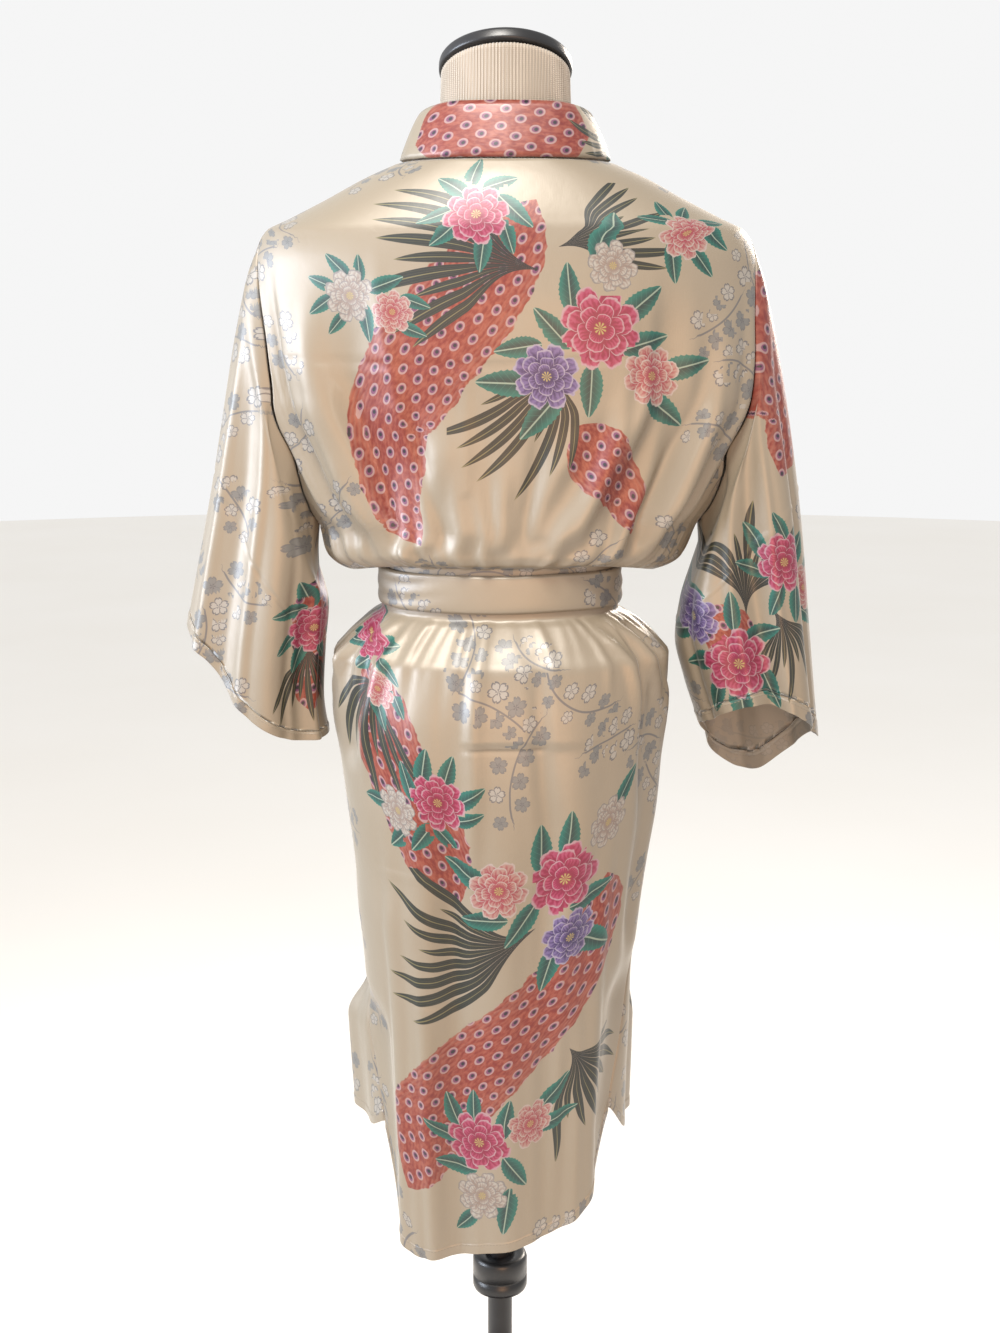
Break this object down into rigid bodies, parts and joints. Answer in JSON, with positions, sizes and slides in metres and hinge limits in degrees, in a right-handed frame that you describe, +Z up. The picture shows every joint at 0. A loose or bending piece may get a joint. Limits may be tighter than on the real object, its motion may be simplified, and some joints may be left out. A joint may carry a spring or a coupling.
{
  "type": "kimono robe on dress form",
  "caption": "Short satin wrap robe with wide sleeves, neck band, tie belt and long rounded back hem, on a limbless dress form with pole and round base.",
  "frame": {"origin": "on the floor, under the middle of the base plate", "axes": "+Z up along the pole, the front of the robe faces -Y, +X is the wearer's left"},
  "size_m": [0.612, 0.38, 1.5204],
  "materials": {
    "printed_satin": "printed polyester satin",
    "form_jersey": "ribbed cream jersey",
    "black_plastic": "moulded, semi-gloss",
    "black_steel": "black powder coat"
  },
  "bodies": {
    "root": {"back": "printed_satin", "front_left": "printed_satin", "front_right": "printed_satin", "sleeve_left": "printed_satin", "sleeve_right": "printed_satin", "neck_band": "printed_satin", "belt_waist": "printed_satin", "belt_knot": "printed_satin", "belt_tail_left": "printed_satin", "belt_tail_right": "printed_satin", "form_body": "form_jersey", "form_cap": "black_plastic", "pole": "black_steel", "pole_collar": "black_plastic", "base_plate": "black_steel"}
  },
  "joints": []
}
